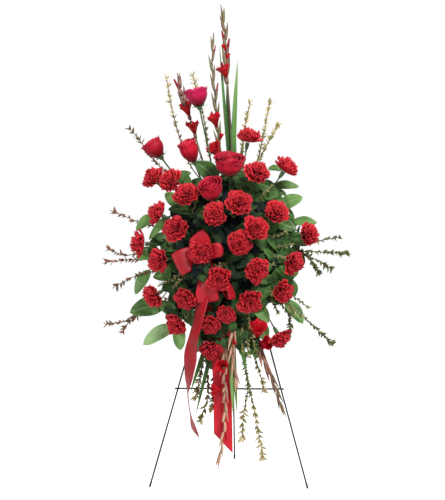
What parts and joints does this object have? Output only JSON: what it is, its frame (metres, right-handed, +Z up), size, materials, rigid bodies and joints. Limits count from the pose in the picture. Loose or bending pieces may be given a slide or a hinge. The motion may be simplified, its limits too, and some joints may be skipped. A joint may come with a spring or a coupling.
{
  "type": "standing funeral spray",
  "caption": "Tall oval spray of red carnations, roses and gladioli with greenery and a satin bow, in wet foam on a folding wire easel.",
  "frame": {"origin": "on the floor, midway between the two front feet across and near the middle of the easel's footprint, about the middle of the bounding box's bottom face", "axes": "+Z up, -Y towards the viewer of the flowers, +X to that viewer's right"},
  "size_m": [0.7293, 0.5723, 1.4392],
  "materials": {
    "easel_wire": "black-green painted wire, satin",
    "black_ties": "black nylon, satin",
    "green_tray": "dark green moulded plastic, matte",
    "wet_foam": "dark green floral foam, matte and wet",
    "carnation_petals": "crimson frilled petals, velvety",
    "rose_petals": "deep crimson petals, velvety",
    "green_stems": "smooth green stems and calyxes",
    "gladiolus_florets": "bright red florets, brown-green bud sheaths, purple-brown stems",
    "sword_leaves": "ribbed green sword leaves, satin",
    "red_satin": "red satin ribbon, glossy",
    "salal_leaves": "leathery dark green leaves, glossy above and pale below",
    "twigs": "brown twigs with cream and yellow-green leaves"
  },
  "bodies": {
    "spray": {"easel_left_leg": "easel_wire", "easel_right_leg": "easel_wire", "easel_top_bar": "easel_wire", "easel_upper_crossbar": "easel_wire", "easel_lower_crossbar": "easel_wire", "tray_tie_left": "black_ties", "tray_tie_right": "black_ties", "foam_tray": "green_tray", "carnation_01": "carnation_petals", "carnation_02": "carnation_petals", "carnation_03": "carnation_petals", "carnation_04": "carnation_petals", "carnation_05": "carnation_petals", "carnation_06": "carnation_petals", "carnation_07": "carnation_petals", "carnation_08": "carnation_petals", "carnation_09": "carnation_petals", "carnation_10": "carnation_petals", "carnation_11": "carnation_petals", "carnation_12": "carnation_petals", "carnation_13": "carnation_petals", "carnation_14": "carnation_petals", "carnation_15": "carnation_petals", "carnation_16": "carnation_petals", "carnation_17": "carnation_petals", "carnation_18": "carnation_petals", "carnation_19": "carnation_petals", "carnation_20": "carnation_petals", "carnation_21": "carnation_petals", "carnation_22": "carnation_petals", "carnation_23": "carnation_petals", "carnation_24": "carnation_petals", "carnation_25": "carnation_petals", "carnation_26": "carnation_petals", "carnation_27": "carnation_petals", "carnation_28": "carnation_petals", "carnation_29": "carnation_petals", "rose_top": "rose_petals", "rose_left": "rose_petals", "rose_bud": "rose_petals", "rose_centre": "rose_petals", "rose_lower": "rose_petals", "flower_stems": "green_stems", "gladioli_upper": "gladiolus_florets", "gladioli_lower": "gladiolus_florets", "ribbon_bow": "red_satin", "ribbon_streamer_left": "red_satin", "ribbon_streamer_centre": "red_satin", "gladiolus_leaves_upper": "sword_leaves", "gladiolus_leaves_lower": "sword_leaves", "salal_left": "salal_leaves", "salal_right": "salal_leaves", "salal_lower": "salal_leaves", "twigs_upper_left": "twigs", "twigs_upper_right": "twigs", "twigs_left": "twigs", "twigs_right": "twigs", "twigs_lower": "twigs", "foam_block": "wet_foam"},
    "back_leg": {"easel_back_leg": "easel_wire"}
  },
  "joints": [
    {"name": "back_leg_fold", "type": "hinge", "parent": "spray", "child": "back_leg", "pos_m": [0, 0.00338, 0.79384], "axis": [-1, 0, 0], "range_deg": [0, 31.8]}
  ]
}
